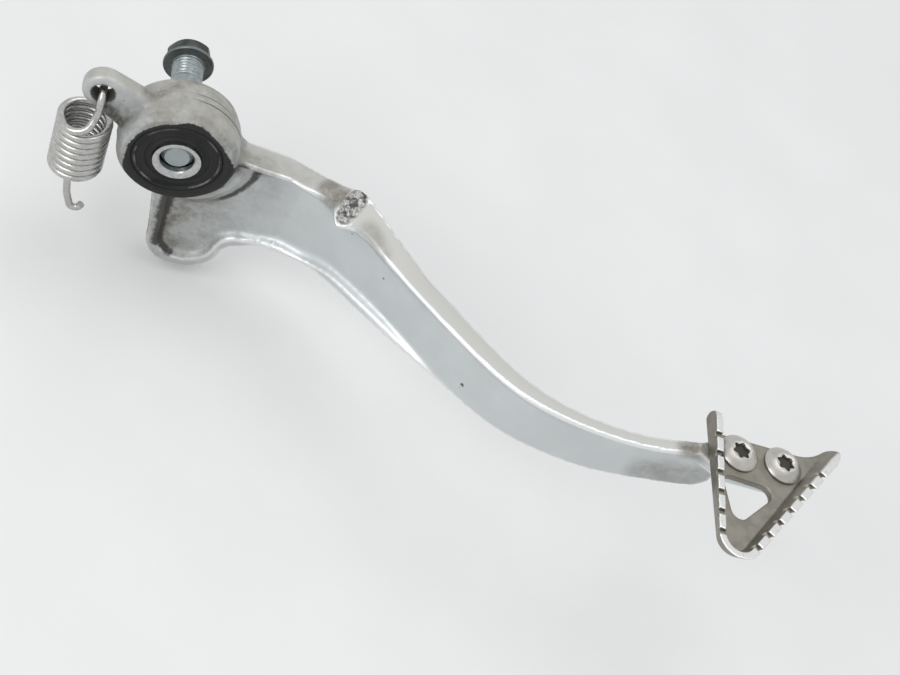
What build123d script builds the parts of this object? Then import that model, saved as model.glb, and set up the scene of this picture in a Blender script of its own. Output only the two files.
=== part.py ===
"""Rear brake pedal of a motorbike: a forged arm on a sealed pivot, with a bolted step and a return spring.

Millimetres. +X forward, +Y inboard along the pivot axis, +Z up with the step level.
The origin is on the pivot axis, at the middle of the pivot sleeve.
"""
import os
from math import asin, atan2, cos, degrees, floor, pi, radians, sin

from build123d import *

# Overall
ARM_REACH = 187.0        # pivot to the middle of the step screws, forward
ARM_OFFSET = 78.0        # pivot middle to the step screws, outboard
STEP_LEVEL = 18.0        # underside of the step above the pivot

# Pivot
BOLT_D = 10.0
BOLT_LENGTH = 40.0
BOLT_RECESS = 1.8        # bolt end inside the sleeve's outer mouth
FLANGE_D = 16.2
FLANGE_T = 2.0
HEX_AF = 13.0
HEX_H = 4.2
HEX_TURN = 55.0          # a corner of the hexagon, from forward
SLEEVE_D = 15.0
SLEEVE_LENGTH = 20.0
BORE_PLAY = 0.3          # bolt to sleeve, radial
RUN_PLAY = 0.03          # rollers to sleeve, radial
CUP_PLAY = 0.02          # rollers to cup, radial
LIP_PLAY = 0.05          # seal lips to sleeve, radial
CUP_LIP_PLAY = 0.35      # cup's end lips to sleeve, radial
ROLLER_D = 2.0
ROLLER_LENGTH = 9.6
CUP_WALL = 1.0
CUP_LIP = 0.9
CUP_LENGTH = 12.0
SEAL_D = 28.0
SEAL_T = 3.0
SEAL_RECESS = 0.3
SEAL_GROOVE = 0.5
MOUTH = 0.9              # chamfer at the sleeve's and the ear's hole mouths
BOSS_WALL = 5.0

# Arm: shares of the reach and of the offset, top, underside and thickness at each station
STATIONS = (
    (0.198, 0.000, 2.6, -32.8, 10.3),
    (0.267, 0.077, 3.2, -26.4, 10.0),
    (0.348, 0.244, 4.8, -22.2, 9.6),
    (0.428, 0.449, 6.0, -18.3, 9.1),
    (0.519, 0.667, 7.2, -15.0, 8.0),
    (0.604, 0.846, 9.3, -11.7, 6.8),
    (0.695, 0.936, 10.8, -8.8, 5.4),
    (0.781, 0.972, 12.2, -6.2, 5.0),
    (0.845, 0.985, 14.6, -3.0, 5.0),
    (0.893, 0.992, 17.5, -0.6, 5.0),
    (0.925, 0.996, 17.8, 1.4, 5.0),
    (0.950, 1.000, 17.8, 9.0, 5.0),
)
WEB_T = 4.4
RIB_FACE = 1.6           # upper rib's flat front
LOW_RIB_FACE = 2.8       # lower rib's flat front
LOW_RIB_END, LOW_RIB_FADE = 0.535, 0.135   # lower rib's end and run-out, as shares of the reach
RIB_SLOPE = 1.4          # run of a rib's inner flank
CROWN = 0.4              # height of the parting ridge along a rib
ROOT_LAP = 0.05          # root and blade run into each other
LOBE_X, LOBE_Z, LOBE_R = 15.5, -38.5, 12.3
LOBE_RIM = 4.4           # lobe's edge to the floor of its recess
PUSHROD_CORE_D = 5.0
PUSHROD_DEPTH = 9.0
PUSHROD_BOSS_R = 7.0
PUSHROD_FACE = 8.5       # inboard face of the pushrod boss
EAR_X, EAR_Z, EAR_R, EAR_T = -27.6, 11.5, 6.5, 6.0
EAR_PLAY = 1.8           # spring wire to the ear's hole, radial
PAD_W = 14.0             # arm's end pad under the step
PAD_T = 4.6

# Stop pad on the upper rib: corners of its worn face and of its foot, from the face's middle
STOP_HEIGHT = 7.5        # middle of the worn face
STOP_PLACE = (0.306, 0.1705)         # its middle, as shares of the reach and of the offset
STOP_RISE_X, STOP_RISE_Y = 0.23, 0.48
STOP_FACE = ((-7.5, -2.1), (-5.3, -5.4), (-1.7, -5.0), (2.5, -3.1),
             (3.6, 0.3), (2.0, 4.9), (-0.7, 6.3), (-4.2, 2.8))
STOP_FOOT = ((-12.7, 8.5), (-8.2, 5.7), (-1.2, -0.1), (7.8, -8.1),
             (13.8, -12.3), (10.8, -6.2), (0.8, 5.3), (-9.2, 13.3))
STOP_FOOT_Z, STOP_FOOT_RISE = 0.8, 0.23

# Step, measured from the middle of its screws: x forward, y inboard
SHEET = 2.4
STEP_RISE = 6.4          # underside to tooth tips
STEP_FLOOR = (-17.5, -47.8, 0.0, 36.05, 5.5)    # sharp corner, flange headings from inboard, tip radius
STEP_RIM = (-22.0, -56.4, 4.4, 38.9, 7.2)       # the same along the tooth tips, where the flanges lean out
REAR_END = 12.6          # end of the rear flange, inboard
FRONT_END = (74.6, 83.1)             # front flange's lengths from the two corners
INNER_EDGE = 6.0         # plate's inboard edge
INNER_SWEEP = 13.0       # its curve into the front flange
NOTCHES = 6
NOTCH_PITCH = 7.06
REAR_NOTCH, FRONT_NOTCH = 23.6, 25.5 # first notch from the rim's corner
NOTCH_W, NOTCH_DEPTH = 1.9, 1.6
WINDOW = ((-14.3, -8.6), (6.5, -9.8), (-11.5, -27.0))
WINDOW_R = 3.0
BEND_R = 1.5

# Step screws
SCREW_GAP = 15.7
SCREW_D = 6.0
SCREW_PLAY = 0.2         # screw to the step's hole, radial
TAP_PLAY = 0.03          # screw to the arm's hole, radial
SCREW_LENGTH = 8.0
HEAD_D = 13.0
HEAD_H = 3.3
SOCKET_D = 7.0
SOCKET_DEPTH = 2.0

# Return spring, hung in the ear
WIRE_D = 2.4
COIL_D = 17.4            # outside
COIL_TURNS = 8.3
COIL_GAP = 0.12          # between turns
COIL_START = 92.0        # angle of the coil's lower end
COIL_SHIFT, COIL_DROP = -3.2, -14.4   # coil's top middle from the ear's hole
SPRING_LEAN = 7.6
HOOK_PLAY = 0.3          # upper hook to the ear's faces
LOWER_BENDS = ((-1.4, -2.2, -3.6), (-0.5, -2.0, -11.7), (1.5, -2.0, -18.3),
               (4.2, -2.0, -18.1), (4.8, -2.0, -16.4))
LOWER_RADII = (2.6, 3.4, 9.0, 1.7, 1.6)
UPPER_BEND = (0.8, -7.9, 1.6)
HOOK_KNEE = -7.6         # where the upper hook turns up along the ear's face, from the ear's hole
UPPER_RADII = (5.0, 5.0, 6.0)
HOOK_LEAD = (4.6, 5.2)   # from the coil's ends to the first bends

SLEEVE_BORE = BOLT_D + 2 * BORE_PLAY
ROLLER_RING = SLEEVE_D / 2 + RUN_PLAY + ROLLER_D / 2
CUP_BORE = 2 * ROLLER_RING + ROLLER_D + 2 * CUP_PLAY
CUP_D = CUP_BORE + 2 * CUP_WALL
BOSS_R = SEAL_D / 2 + BOSS_WALL
BOSS_DEPTH = CUP_LENGTH + 2 * (SEAL_T + SEAL_RECESS)
EAR_HOLE_D = WIRE_D + 2 * EAR_PLAY
HOOK_R = EAR_T / 2 + WIRE_D / 2 + HOOK_PLAY
SCREW_Y = -ARM_OFFSET
SCREW_XS = (ARM_REACH - SCREW_GAP / 2, ARM_REACH + SCREW_GAP / 2)


def along_y(radius, start, end):
    """Solid cylinder on the pivot axis from y start to y end."""
    return Pos(0, (start + end) / 2, 0) * Rot(90, 0, 0) * Cylinder(radius, end - start)


def ring(outer, inner, start, end):
    """Tube on the pivot axis."""
    return along_y(outer, start, end) - along_y(inner, start - 1, end + 1)


def side(sketch, start, end):
    """A sketch drawn as (x, z), extruded from y start to y end."""
    return Pos(0, end, 0) * extrude(Plane.XZ * sketch, end - start)


def pivot_sleeve():
    half = SLEEVE_LENGTH / 2
    sleeve = ring(SLEEVE_D / 2, SLEEVE_BORE / 2, -half, half)
    mouths = sleeve.edges().filter_by(GeomType.CIRCLE).filter_by(lambda e: e.radius < SLEEVE_D / 2 - 0.5)
    return chamfer(mouths, MOUTH)


def seal(sign):
    """Lip seal, with a shallow groove between its casing and its lip."""
    near, far = CUP_LENGTH / 2, CUP_LENGTH / 2 + SEAL_T
    body = ring(SEAL_D / 2, SLEEVE_D / 2 + LIP_PLAY, *sorted((sign * near, sign * far)))
    groove = sorted((sign * (far - SEAL_GROOVE), sign * (far + 1)))
    return body - ring(SEAL_D / 2 - 1.2, SLEEVE_D / 2 + 2.4, *groove)


def bearing_cup():
    """Drawn cup of the needle bearing, lipped at both ends."""
    half = CUP_LENGTH / 2
    shell = ring(CUP_D / 2, SLEEVE_D / 2 + CUP_LIP_PLAY, -half, half)
    return shell - along_y(CUP_BORE / 2, CUP_LIP - half, half - CUP_LIP)


def needle_rollers():
    count = floor(pi / asin(ROLLER_D / 2 / ROLLER_RING))
    roller = Rot(90, 0, 0) * Cylinder(ROLLER_D / 2, ROLLER_LENGTH)
    return Compound([Rot(0, 360 * k / count, 0) * Pos(ROLLER_RING, 0, 0) * roller for k in range(count)])


def pivot_bolt():
    end = BOLT_RECESS - SLEEVE_LENGTH / 2
    face = end + BOLT_LENGTH
    back = face + FLANGE_T + HEX_H
    shank = along_y(BOLT_D / 2, end, face + 0.1)
    shank = chamfer(shank.edges().filter_by(GeomType.CIRCLE).sort_by(Axis.Y)[0], 1.2)
    flange = along_y(FLANGE_D / 2, face, face + FLANGE_T)
    flange = chamfer(flange.edges().filter_by(GeomType.CIRCLE).sort_by(Axis.Y)[-1], 0.9)
    hexagon = RegularPolygon(HEX_AF / 2, 6, major_radius=False, rotation=HEX_TURN)
    cone = Polyline((0, face), (HEX_AF, face), (HEX_AF / 2 - 0.3, back), (0, back), close=True)
    head = side(hexagon, face + 1, back) & revolve(make_face(cone), Axis.Y)
    return shank + flange + head


def boss():
    """Round hub with rolled front and rear edges and a parting ridge."""
    half = BOSS_DEPTH / 2
    outline = Polyline((0, -half), (BOSS_R - 2, -half), (BOSS_R - 0.3, 2.4 - half), (BOSS_R, -0.6),
                       (BOSS_R + 0.3, 0), (BOSS_R - 0.2, 0.6), (BOSS_R - 1.3, half - 1.5),
                       (BOSS_R - 2.6, half), (0, half), close=True)
    return revolve(make_face(outline), Axis.Y)


def root_outline(end):
    """Side view of the arm's root: hub, pushrod lobe and the start of the arm, up to x = end."""
    top, low = STATIONS[0][2] - CROWN, STATIONS[0][3]
    waist = (LOBE_X + LOBE_R + 1.4, low - 0.6)
    plate = make_face(Polyline((-3, -14), (LOBE_X - LOBE_R, LOBE_Z), (LOBE_X + LOBE_R, LOBE_Z), waist,
                               (end, low), (end, top), (6, top + 1.2), close=True))
    outline = plate + Circle(BOSS_R - 0.5) + Pos(LOBE_X, LOBE_Z) * Circle(LOBE_R)
    for near, radius in ((waist, 7), ((BOSS_R - 0.5, top + 0.8), 6), ((-4, -17), 6)):
        outline = fillet(outline.vertices().sort_by_distance(Vector(*near))[0], radius)
    return outline


def root_recess(end):
    """Floor of the recess in the arm's root, open towards the arm at x = end."""
    top = STATIONS[0][2] - RIB_FACE - RIB_SLOPE
    first, low = STATIONS[0][0] * ARM_REACH, STATIONS[0][3] + LOW_RIB_FACE + RIB_SLOPE + 0.5
    radius = LOBE_R - LOBE_RIM
    x, z = LOBE_X + 0.3, LOBE_Z + 0.8
    waist = (x + radius + 1.9, low - 1.6)
    plate = make_face(Polyline((4, -14), (x - radius, z), (x + radius, z), waist, (first, low),
                               (end, low), (end, top), (6, top), close=True))
    recess = plate + Pos(x, z) * Circle(radius)
    recess = fillet(recess.vertices().sort_by_distance(Vector(*waist))[0], 8)
    return recess - Circle(BOSS_R - 0.2)


def arm_root():
    """Hub plate and pushrod lobe, recessed on both faces to a web."""
    end, half = STATIONS[0][0] * ARM_REACH + ROOT_LAP, STATIONS[0][4] / 2
    depth = half - WEB_T / 2
    flare = degrees(atan2(RIB_SLOPE, depth))
    cut = extrude(Plane.XZ * root_recess(end + 8), depth, taper=-flare)
    cut &= Pos(end - 50, 0, 0) * Box(100, 200, 200)
    front = Pos(0, -WEB_T / 2, 0) * cut
    return side(root_outline(end), -half, half) - front - mirror(front, Plane.XZ)


def section(plane, x, top, low, thick):
    """Ribbed cross-section of the arm; the lower rib runs out along the arm."""
    share = min(max((LOW_RIB_END - x / ARM_REACH) / LOW_RIB_FADE, 0), 1)
    half = thick / 2
    web = min(WEB_T / 2, half - 0.25)
    low_half = web + 0.1 + (half - web - 0.1) * min(1, 2 * share)
    face, slope = LOW_RIB_FACE * share + 0.3, RIB_SLOPE * share + 0.2
    flank = [(half, top - CROWN), (half, top - RIB_FACE), (web, top - RIB_FACE - RIB_SLOPE),
             (web, low + face + slope), (low_half, low + face), (low_half, low + 0.15)]
    mirrored = [(-u, v) for u, v in reversed(flank)]
    return plane * make_face(Polyline((0, top), *flank, (0, low), *mirrored, close=True))


def arm_path():
    """Middle line of the arm in plan, and its parameter at each station."""
    points = [(fx * ARM_REACH, -fy * ARM_OFFSET) for fx, fy, *_ in STATIONS]
    path = Spline(*points, tangents=[(1, 0), (1, 0)])
    return path, [path.param_at_point(Vector(x, y, 0)) for x, y in points]


def across_path(path, place):
    """Upright plane across the arm's middle line; its x runs inboard."""
    along = path % place
    return Plane(path @ place, x_dir=(-along.Y, along.X, 0), z_dir=along)


def arm_blade():
    """Swept arm from the root to the end pad."""
    path, places = arm_path()
    return loft([section(across_path(path, place), fx * ARM_REACH, top, low, thick)
                 for place, (fx, _, top, low, thick) in zip(places, STATIONS)])


def end_pad():
    """Flat pad under the step, widening out of the neck."""
    first, last = SCREW_XS
    width = PAD_W / 2
    neck = STATIONS[-3][0] * ARM_REACH
    plan = make_face(Polyline((neck, -2), (first - 3, -width), (last, -width), (last, width),
                              (first - 3, width), (neck, 2), close=True)) + Pos(last, 0) * Circle(width)
    return Pos(0, SCREW_Y, STEP_LEVEL - PAD_T) * extrude(plan, PAD_T)


def spring_ear():
    eye = Pos(EAR_X, EAR_Z) * Circle(EAR_R)
    plate = make_hull((eye + Circle(BOSS_R / 2)).edges())
    ear = side(plate, -EAR_T / 2, EAR_T / 2)
    rims = ear.edges().filter_by(lambda e: abs(abs(e.center().Y) - EAR_T / 2) < 0.01)
    ear = fillet(rims, 1.6) - Pos(EAR_X, 0, EAR_Z) * along_y(EAR_HOLE_D / 2, -EAR_T, EAR_T)
    circles = ear.edges().filter_by(GeomType.CIRCLE)
    mouths = circles.filter_by(lambda e: abs(e.radius - EAR_HOLE_D / 2) < 0.01)
    return chamfer(mouths, MOUTH)


def stop_pad():
    """Stop pad with a worn, leaning face, standing out of the upper rib."""
    face = [(x, y, STOP_HEIGHT + STOP_RISE_X * x + STOP_RISE_Y * y) for x, y in STOP_FACE]
    foot = [(x, y, STOP_FOOT_Z + STOP_FOOT_RISE * x) for x, y in STOP_FOOT]
    pad = loft([make_face(Polyline(*foot, close=True)), make_face(Polyline(*face, close=True))], ruled=True)
    return Pos(STOP_PLACE[0] * ARM_REACH, -STOP_PLACE[1] * ARM_OFFSET, 0) * pad


def stop_ridge():
    """Ridge that rises along the upper rib to the stop pad and falls away again."""
    path, places = arm_path()
    tops = [station[2] - CROWN for station in STATIONS]
    crest = ((places[1] + places[2]) / 2, (tops[1] + tops[2]) / 2, STOP_HEIGHT - 1.4, STOP_HEIGHT + 2.6)
    start, finish = ((places[k], tops[k], tops[k], tops[k]) for k in (0, 3))
    front, back, root = -3.4, 4.4, 0.9
    quads = []
    for place, rib_top, front_top, back_top in (start, crest, finish):
        low = rib_top - root
        outline = Polyline((front, low), (back, low), (back, back_top), (front, front_top), close=True)
        quads.append(across_path(path, place) * make_face(outline))
    return loft(quads, ruled=True)


def arm():
    half = BOSS_DEPTH / 2
    body = arm_root() + boss() + arm_blade() + end_pad() + spring_ear() + stop_ridge() + stop_pad()
    body += Pos(LOBE_X, 0, LOBE_Z) * along_y(PUSHROD_BOSS_R, 0, PUSHROD_FACE)
    body -= along_y(CUP_D / 2, -half - 1, half + 1)
    for start, end in ((-half - 1, -CUP_LENGTH / 2), (CUP_LENGTH / 2, half + 1)):
        body -= along_y(SEAL_D / 2, start, end)
    hole = along_y(PUSHROD_CORE_D / 2, PUSHROD_FACE - PUSHROD_DEPTH, PUSHROD_FACE + 1)
    body -= Pos(LOBE_X, 0, LOBE_Z) * hole
    for x in SCREW_XS:
        body -= Pos(x, SCREW_Y, STEP_LEVEL) * Cylinder(SCREW_D / 2 + TAP_PLAY, 30)
    return body


def heading(angle):
    """Level direction at an angle from inboard towards forward."""
    return Vector(sin(radians(angle)), cos(radians(angle)), 0)


def step_plan(line, front_length, inset, height):
    """Level outline of the step inside its flanges, moved in by inset, with a round tip."""
    x, y, rear_angle, front_angle, tip_r = line
    rear, front = heading(rear_angle), heading(front_angle)
    splay = radians(front_angle - rear_angle)
    corner = Vector(x, y, height) + (rear + front) * (inset / sin(splay))
    rear_end = corner + rear * ((REAR_END + inset - corner.Y) / rear.Y)
    front_end = corner + front * (front_length + inset - inset / sin(splay))
    inner = front_end + Vector(-front.Y, front.X, 0) * 12
    plan = make_face(Polyline(rear_end, corner, front_end, inner, rear_end + Vector(12, 0, 0), close=True))
    return fillet(plan.vertices().sort_by_distance(corner)[0], tip_r - inset)


def step_tray(inset):
    """Solid between the step's outline at its underside and at its tooth tips."""
    floor_plan = step_plan(STEP_FLOOR, FRONT_END[0], inset, 0)
    rim_plan = step_plan(STEP_RIM, FRONT_END[1], inset, STEP_RISE)
    return loft([floor_plan, rim_plan], ruled=True)


def flange_point(line, angle, length, height):
    """Point on a flange's outer face, a length along it from its sharp corner."""
    return Vector(line[0], line[1], height) + heading(angle) * length


def flange_end(low, top, angle):
    """Cutter that rounds a flange's end between its underside and its tooth tips."""
    along, rise = heading(angle), top - low
    radius = rise.length / 2
    frame = Plane((low + top) / 2, x_dir=along, z_dir=along.cross(rise))
    block = Box(2 * radius, 2 * radius + 8, 4 * SHEET)
    return frame * (block - Pos(-radius, 0, 0) * Cylinder(radius, 6 * SHEET))


def step_ends():
    """Cutters for the rear and the front flange's end."""
    rear_lengths = [(REAR_END - line[1]) / heading(line[2]).Y for line in (STEP_FLOOR, STEP_RIM)]
    ends = []
    for side_angle, lengths in ((2, rear_lengths), (3, FRONT_END)):
        low = flange_point(STEP_FLOOR, STEP_FLOOR[side_angle], lengths[0], 0)
        top = flange_point(STEP_RIM, STEP_RIM[side_angle], lengths[1], STEP_RISE)
        ends.append(flange_end(low, top, (STEP_FLOOR[side_angle] + STEP_RIM[side_angle]) / 2))
    return ends


def notches(first, count, angle):
    """Cutters between the teeth along one rim."""
    cutter = Rot(0, 0, -angle) * Box(5 * SHEET, NOTCH_W, 2 * NOTCH_DEPTH)
    return [Pos(flange_point(STEP_RIM, angle, first + NOTCH_PITCH * k, STEP_RISE)) * cutter
            for k in range(count)]


def inner_cut():
    """Cutter behind the plate's inboard edge, which curves into the front flange."""
    front = heading(STEP_FLOOR[3])
    along = (INNER_EDGE - STEP_FLOOR[1]) / front.Y
    corner = Vector(STEP_FLOOR[0], STEP_FLOOR[1], 0) + front * along - Vector(SHEET / 2, 0, 0)
    plan = make_face(Polyline((-100, INNER_EDGE), corner, corner + front * 100, (-100, 100), close=True))
    plan = fillet(plan.vertices().sort_by_distance(corner)[0], INNER_SWEEP)
    return extrude(plan, 20, both=True)


def step():
    """Folded foot plate with a window, and two toothed flanges that meet at the tip."""
    inside = step_tray(SHEET)
    plate = step_tray(0)
    underside = plate.edges().group_by(Axis.Z)[0]
    plate = fillet(underside.filter_by(lambda e: e.center().Y < 0), BEND_R)
    plate -= inside & Pos(0, 0, SHEET + 10) * Box(200, 200, 20)
    plate -= inside & inner_cut()
    teeth = notches(REAR_NOTCH, NOTCHES, STEP_RIM[2]) + notches(FRONT_NOTCH, NOTCHES + 1, STEP_RIM[3])
    for cut in teeth + step_ends():
        plate -= cut
    window = fillet(make_face(Polyline(*WINDOW, close=True)).vertices(), WINDOW_R)
    plate -= extrude(window, 2 * SHEET, both=True)
    for x in (-SCREW_GAP / 2, SCREW_GAP / 2):
        plate -= Pos(x, 0, 0) * Cylinder(SCREW_D / 2 + SCREW_PLAY, 10)
    return Pos(ARM_REACH, SCREW_Y, STEP_LEVEL) * plate


def step_screw():
    """Button-head screw with a six-lobe socket, seated at the origin."""
    head = Cylinder(HEAD_D / 2, HEAD_H, align=(Align.CENTER, Align.CENTER, Align.MIN))
    head = fillet(head.edges().sort_by(Axis.Z)[-1], 0.8 * HEAD_H)
    lobe = 0.36 * SOCKET_D
    socket = Circle(lobe) + PolarLocations(lobe, 6) * Circle(SOCKET_D / 2 - lobe)
    shank = Cylinder(SCREW_D / 2, SCREW_LENGTH, align=(Align.CENTER, Align.CENTER, Align.MAX))
    shank = chamfer(shank.edges().sort_by(Axis.Z)[0], 0.8)
    return head + shank - Pos(0, 0, HEAD_H - SOCKET_DEPTH) * extrude(socket, SOCKET_DEPTH + 1)


def step_screws():
    return Compound([Pos(x, SCREW_Y, STEP_LEVEL + SHEET) * step_screw() for x in SCREW_XS])


def return_spring():
    """Close-wound tension spring, drawn about the ear's hole and then leaned."""
    radius = (COIL_D - WIRE_D) / 2
    pitch = WIRE_D + COIL_GAP
    height = COIL_TURNS * pitch
    coil = Pos(COIL_SHIFT, 0, COIL_DROP - height) * Rot(0, 0, COIL_START) * Helix(pitch, height, radius)
    start, start_dir, end, end_dir = coil @ 0, coil % 0, coil @ 1, coil % 1
    foot, crown = Vector(COIL_SHIFT, 0, COIL_DROP - height), Vector(COIL_SHIFT, 0, COIL_DROP)
    lower = [start, start - start_dir * HOOK_LEAD[0]] + [foot + Vector(p) for p in LOWER_BENDS]
    lower_hook = FilletPolyline(*lower, radius=list(LOWER_RADII))
    strand = Vector(0, -HOOK_R, -HOOK_R - 0.25)
    back = Vector(0, HOOK_R, -HOOK_R - 0.25)
    bends = crown + Vector(UPPER_BEND), Vector(0, -HOOK_R, HOOK_KNEE)
    upper = FilletPolyline(end, end + end_dir * HOOK_LEAD[1], *bends, strand, radius=list(UPPER_RADII))
    bow = ThreePointArc(strand, (0, 0, -0.25), back)
    tail = Line(back, back - Vector(0, 0, 2))
    upper_hook = Wire(upper.edges() + bow.edges() + tail.edges())
    spring = sweep(Plane(start, z_dir=start_dir) * Circle(WIRE_D / 2), coil, is_frenet=True)
    spring += sweep(Plane(start, z_dir=-start_dir) * Circle(WIRE_D / 2), lower_hook)
    spring += sweep(Plane(end, z_dir=end_dir) * Circle(WIRE_D / 2), upper_hook)
    return Pos(EAR_X, 0, EAR_Z) * Rot(0, -SPRING_LEAN, 0) * spring


def main():
    nodes = {
        "arm": arm(),
        "pivot_sleeve": pivot_sleeve(),
        "outer_seal": seal(-1),
        "inner_seal": seal(1),
        "bearing_cup": bearing_cup(),
        "needle_rollers": needle_rollers(),
        "pivot_bolt": pivot_bolt(),
        "step": step(),
        "step_screws": step_screws(),
        "return_spring": return_spring(),
    }
    os.makedirs("parts", exist_ok=True)
    for name, shape in nodes.items():
        export_step(shape, f"parts/{name}.step")


if __name__ == "__main__":
    main()
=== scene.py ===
"""Looks of a motorbike's rear brake pedal: forged arm, sealed pivot, toothed step and return spring.

Metres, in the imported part's own frame: +X forward, +Y inboard along the pivot axis, +Z up.
"""
import logging
import math
from dataclasses import dataclass, field
from enum import Enum

import bpy
import numpy as np
from mathutils import Matrix, Vector, noise


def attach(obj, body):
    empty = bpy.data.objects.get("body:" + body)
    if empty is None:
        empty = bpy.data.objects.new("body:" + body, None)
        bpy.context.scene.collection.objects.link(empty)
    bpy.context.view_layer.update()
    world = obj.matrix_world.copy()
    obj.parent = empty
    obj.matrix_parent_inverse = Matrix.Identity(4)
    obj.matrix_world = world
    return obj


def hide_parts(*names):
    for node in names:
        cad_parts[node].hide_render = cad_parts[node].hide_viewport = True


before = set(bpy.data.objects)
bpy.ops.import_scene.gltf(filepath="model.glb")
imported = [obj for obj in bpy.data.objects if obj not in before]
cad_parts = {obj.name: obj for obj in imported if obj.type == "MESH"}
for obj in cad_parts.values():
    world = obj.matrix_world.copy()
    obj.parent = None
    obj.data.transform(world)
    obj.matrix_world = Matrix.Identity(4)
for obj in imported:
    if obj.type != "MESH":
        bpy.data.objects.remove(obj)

LOG = logging.getLogger("pedal")
MM = 0.001
Colour = tuple[float, float, float]
Point = tuple[float, float, float]
Socket = bpy.types.NodeSocket


class Slot(Enum):
    """Material slots of the record, one for each kind of new piece."""

    ALLOY = "forged_alloy"
    SLEEVE = "sleeve_steel"
    RUBBER = "seal_rubber"
    BOLT = "bolt_steel"
    STEP = "step_steel"
    SCREW = "screw_steel"


class Body(Enum):
    """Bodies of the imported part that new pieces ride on."""

    PIVOT = "pivot"
    PEDAL = "pedal"


class Graph:
    """Shader nodes of one material, with short calls for what the finishes share."""

    def __init__(self, name: str) -> None:
        """Start a material with one principled surface.

        Args:
            name: the material's name.
        """
        self.material = bpy.data.materials.new(name)
        self.material.use_nodes = True
        self.tree = self.material.node_tree
        self.tree.nodes.clear()
        output = self.tree.nodes.new("ShaderNodeOutputMaterial")
        self.surface = self.tree.nodes.new("ShaderNodeBsdfPrincipled")
        self.tree.links.new(self.surface.outputs["BSDF"], output.inputs["Surface"])
        self.place: Socket = self.tree.nodes.new("ShaderNodeTexCoord").outputs["Object"]

    def feed(self, socket: Socket, value: object) -> None:
        """Link a socket, or set it to a constant."""
        if isinstance(value, bpy.types.NodeSocket):
            self.tree.links.new(value, socket)
        else:
            socket.default_value = value

    def node(self, kind: str, inputs: dict, **settings: object) -> bpy.types.Node:
        """Add a shader node.

        Args:
            kind: node type without its common prefix.
            inputs: input socket name or number to a socket or a constant.
            settings: properties of the node itself.

        Returns:
            The new node.
        """
        made = self.tree.nodes.new("ShaderNode" + kind)
        for key, value in settings.items():
            setattr(made, key, value)
        for key, value in inputs.items():
            self.feed(made.inputs[key], value)
        return made

    def noise(self, size: float, detail: float = 3.0, stretch: Point | None = None) -> Socket:
        """Soft noise on object coordinates.

        Args:
            size: width of its blotches in metres.
            detail: octaves of finer noise.
            stretch: scale along each axis before the noise.

        Returns:
            The noise, from 0 to 1.
        """
        place = self.place
        if stretch:
            place = self.node("Mapping", {"Vector": place, "Scale": stretch}).outputs[0]
        made = self.node("TexNoise", {"Vector": place, "Scale": 1 / size, "Detail": detail})
        return made.outputs[0]

    def cells(self, size: float) -> Socket:
        """Distance to the nearest of scattered points, in units of their spacing."""
        return self.node("TexVoronoi", {"Vector": self.place, "Scale": 1 / size}).outputs["Distance"]

    def step(self, value: Socket, low: float, high: float) -> Socket:
        """Smooth step from 0 at low to 1 at high."""
        inputs = {"Value": value, "From Min": low, "From Max": high}
        return self.node("MapRange", inputs, interpolation_type="SMOOTHSTEP").outputs[0]

    def math(self, operation: str, first: object, second: object = 0.0) -> Socket:
        """One arithmetic node."""
        return self.node("Math", {0: first, 1: second}, operation=operation).outputs[0]

    def mix(self, share: object, first: object, second: object) -> Socket:
        """Blend of two colours."""
        inputs = {0: share, 6: first, 7: second}
        return self.node("Mix", inputs, data_type="RGBA").outputs[2]

    def lerp(self, share: object, first: float, second: object) -> Socket:
        """Blend of two numbers."""
        return self.node("Mix", {0: share, 2: first, 3: second}, data_type="FLOAT").outputs[0]

    def attribute(self, name: str) -> Socket:
        """A number stored on the mesh."""
        return self.node("Attribute", {}, attribute_name=name).outputs["Fac"]

    def axes(self) -> tuple[Socket, Socket, Socket]:
        """Object x, y and z."""
        split = self.node("SeparateXYZ", {0: self.place})
        return split.outputs[0], split.outputs[1], split.outputs[2]

    def radius(self) -> Socket:
        """Distance from the pivot axis."""
        x, _, z = self.axes()
        return self.math("SQRT", self.math("ADD", self.math("MULTIPLY", x, x), self.math("MULTIPLY", z, z)))

    def bump(self, height: Socket, depth: float, strength: float = 1.0, over: Socket | None = None) -> Socket:
        """Bumped normal, over another one if given."""
        made = self.node("Bump", {"Height": height, "Strength": strength, "Distance": depth})
        if over:
            self.feed(made.inputs["Normal"], over)
        return made.outputs[0]

    def dress(self, **sockets: object) -> bpy.types.Material:
        """Feed the surface and hand back the material.

        Args:
            sockets: surface inputs, with underscores for the spaces of their names.

        Returns:
            The finished material.
        """
        names = {"base": "Base Color", "metal": "Metallic", "rough": "Roughness", "normal": "Normal"}
        for key, value in sockets.items():
            self.feed(self.surface.inputs[names.get(key, key.replace("_", " "))], value)
        return self.material


def rgba(colour: Colour) -> tuple[float, float, float, float]:
    """Colour with full alpha."""
    return (*colour, 1.0)


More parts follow.
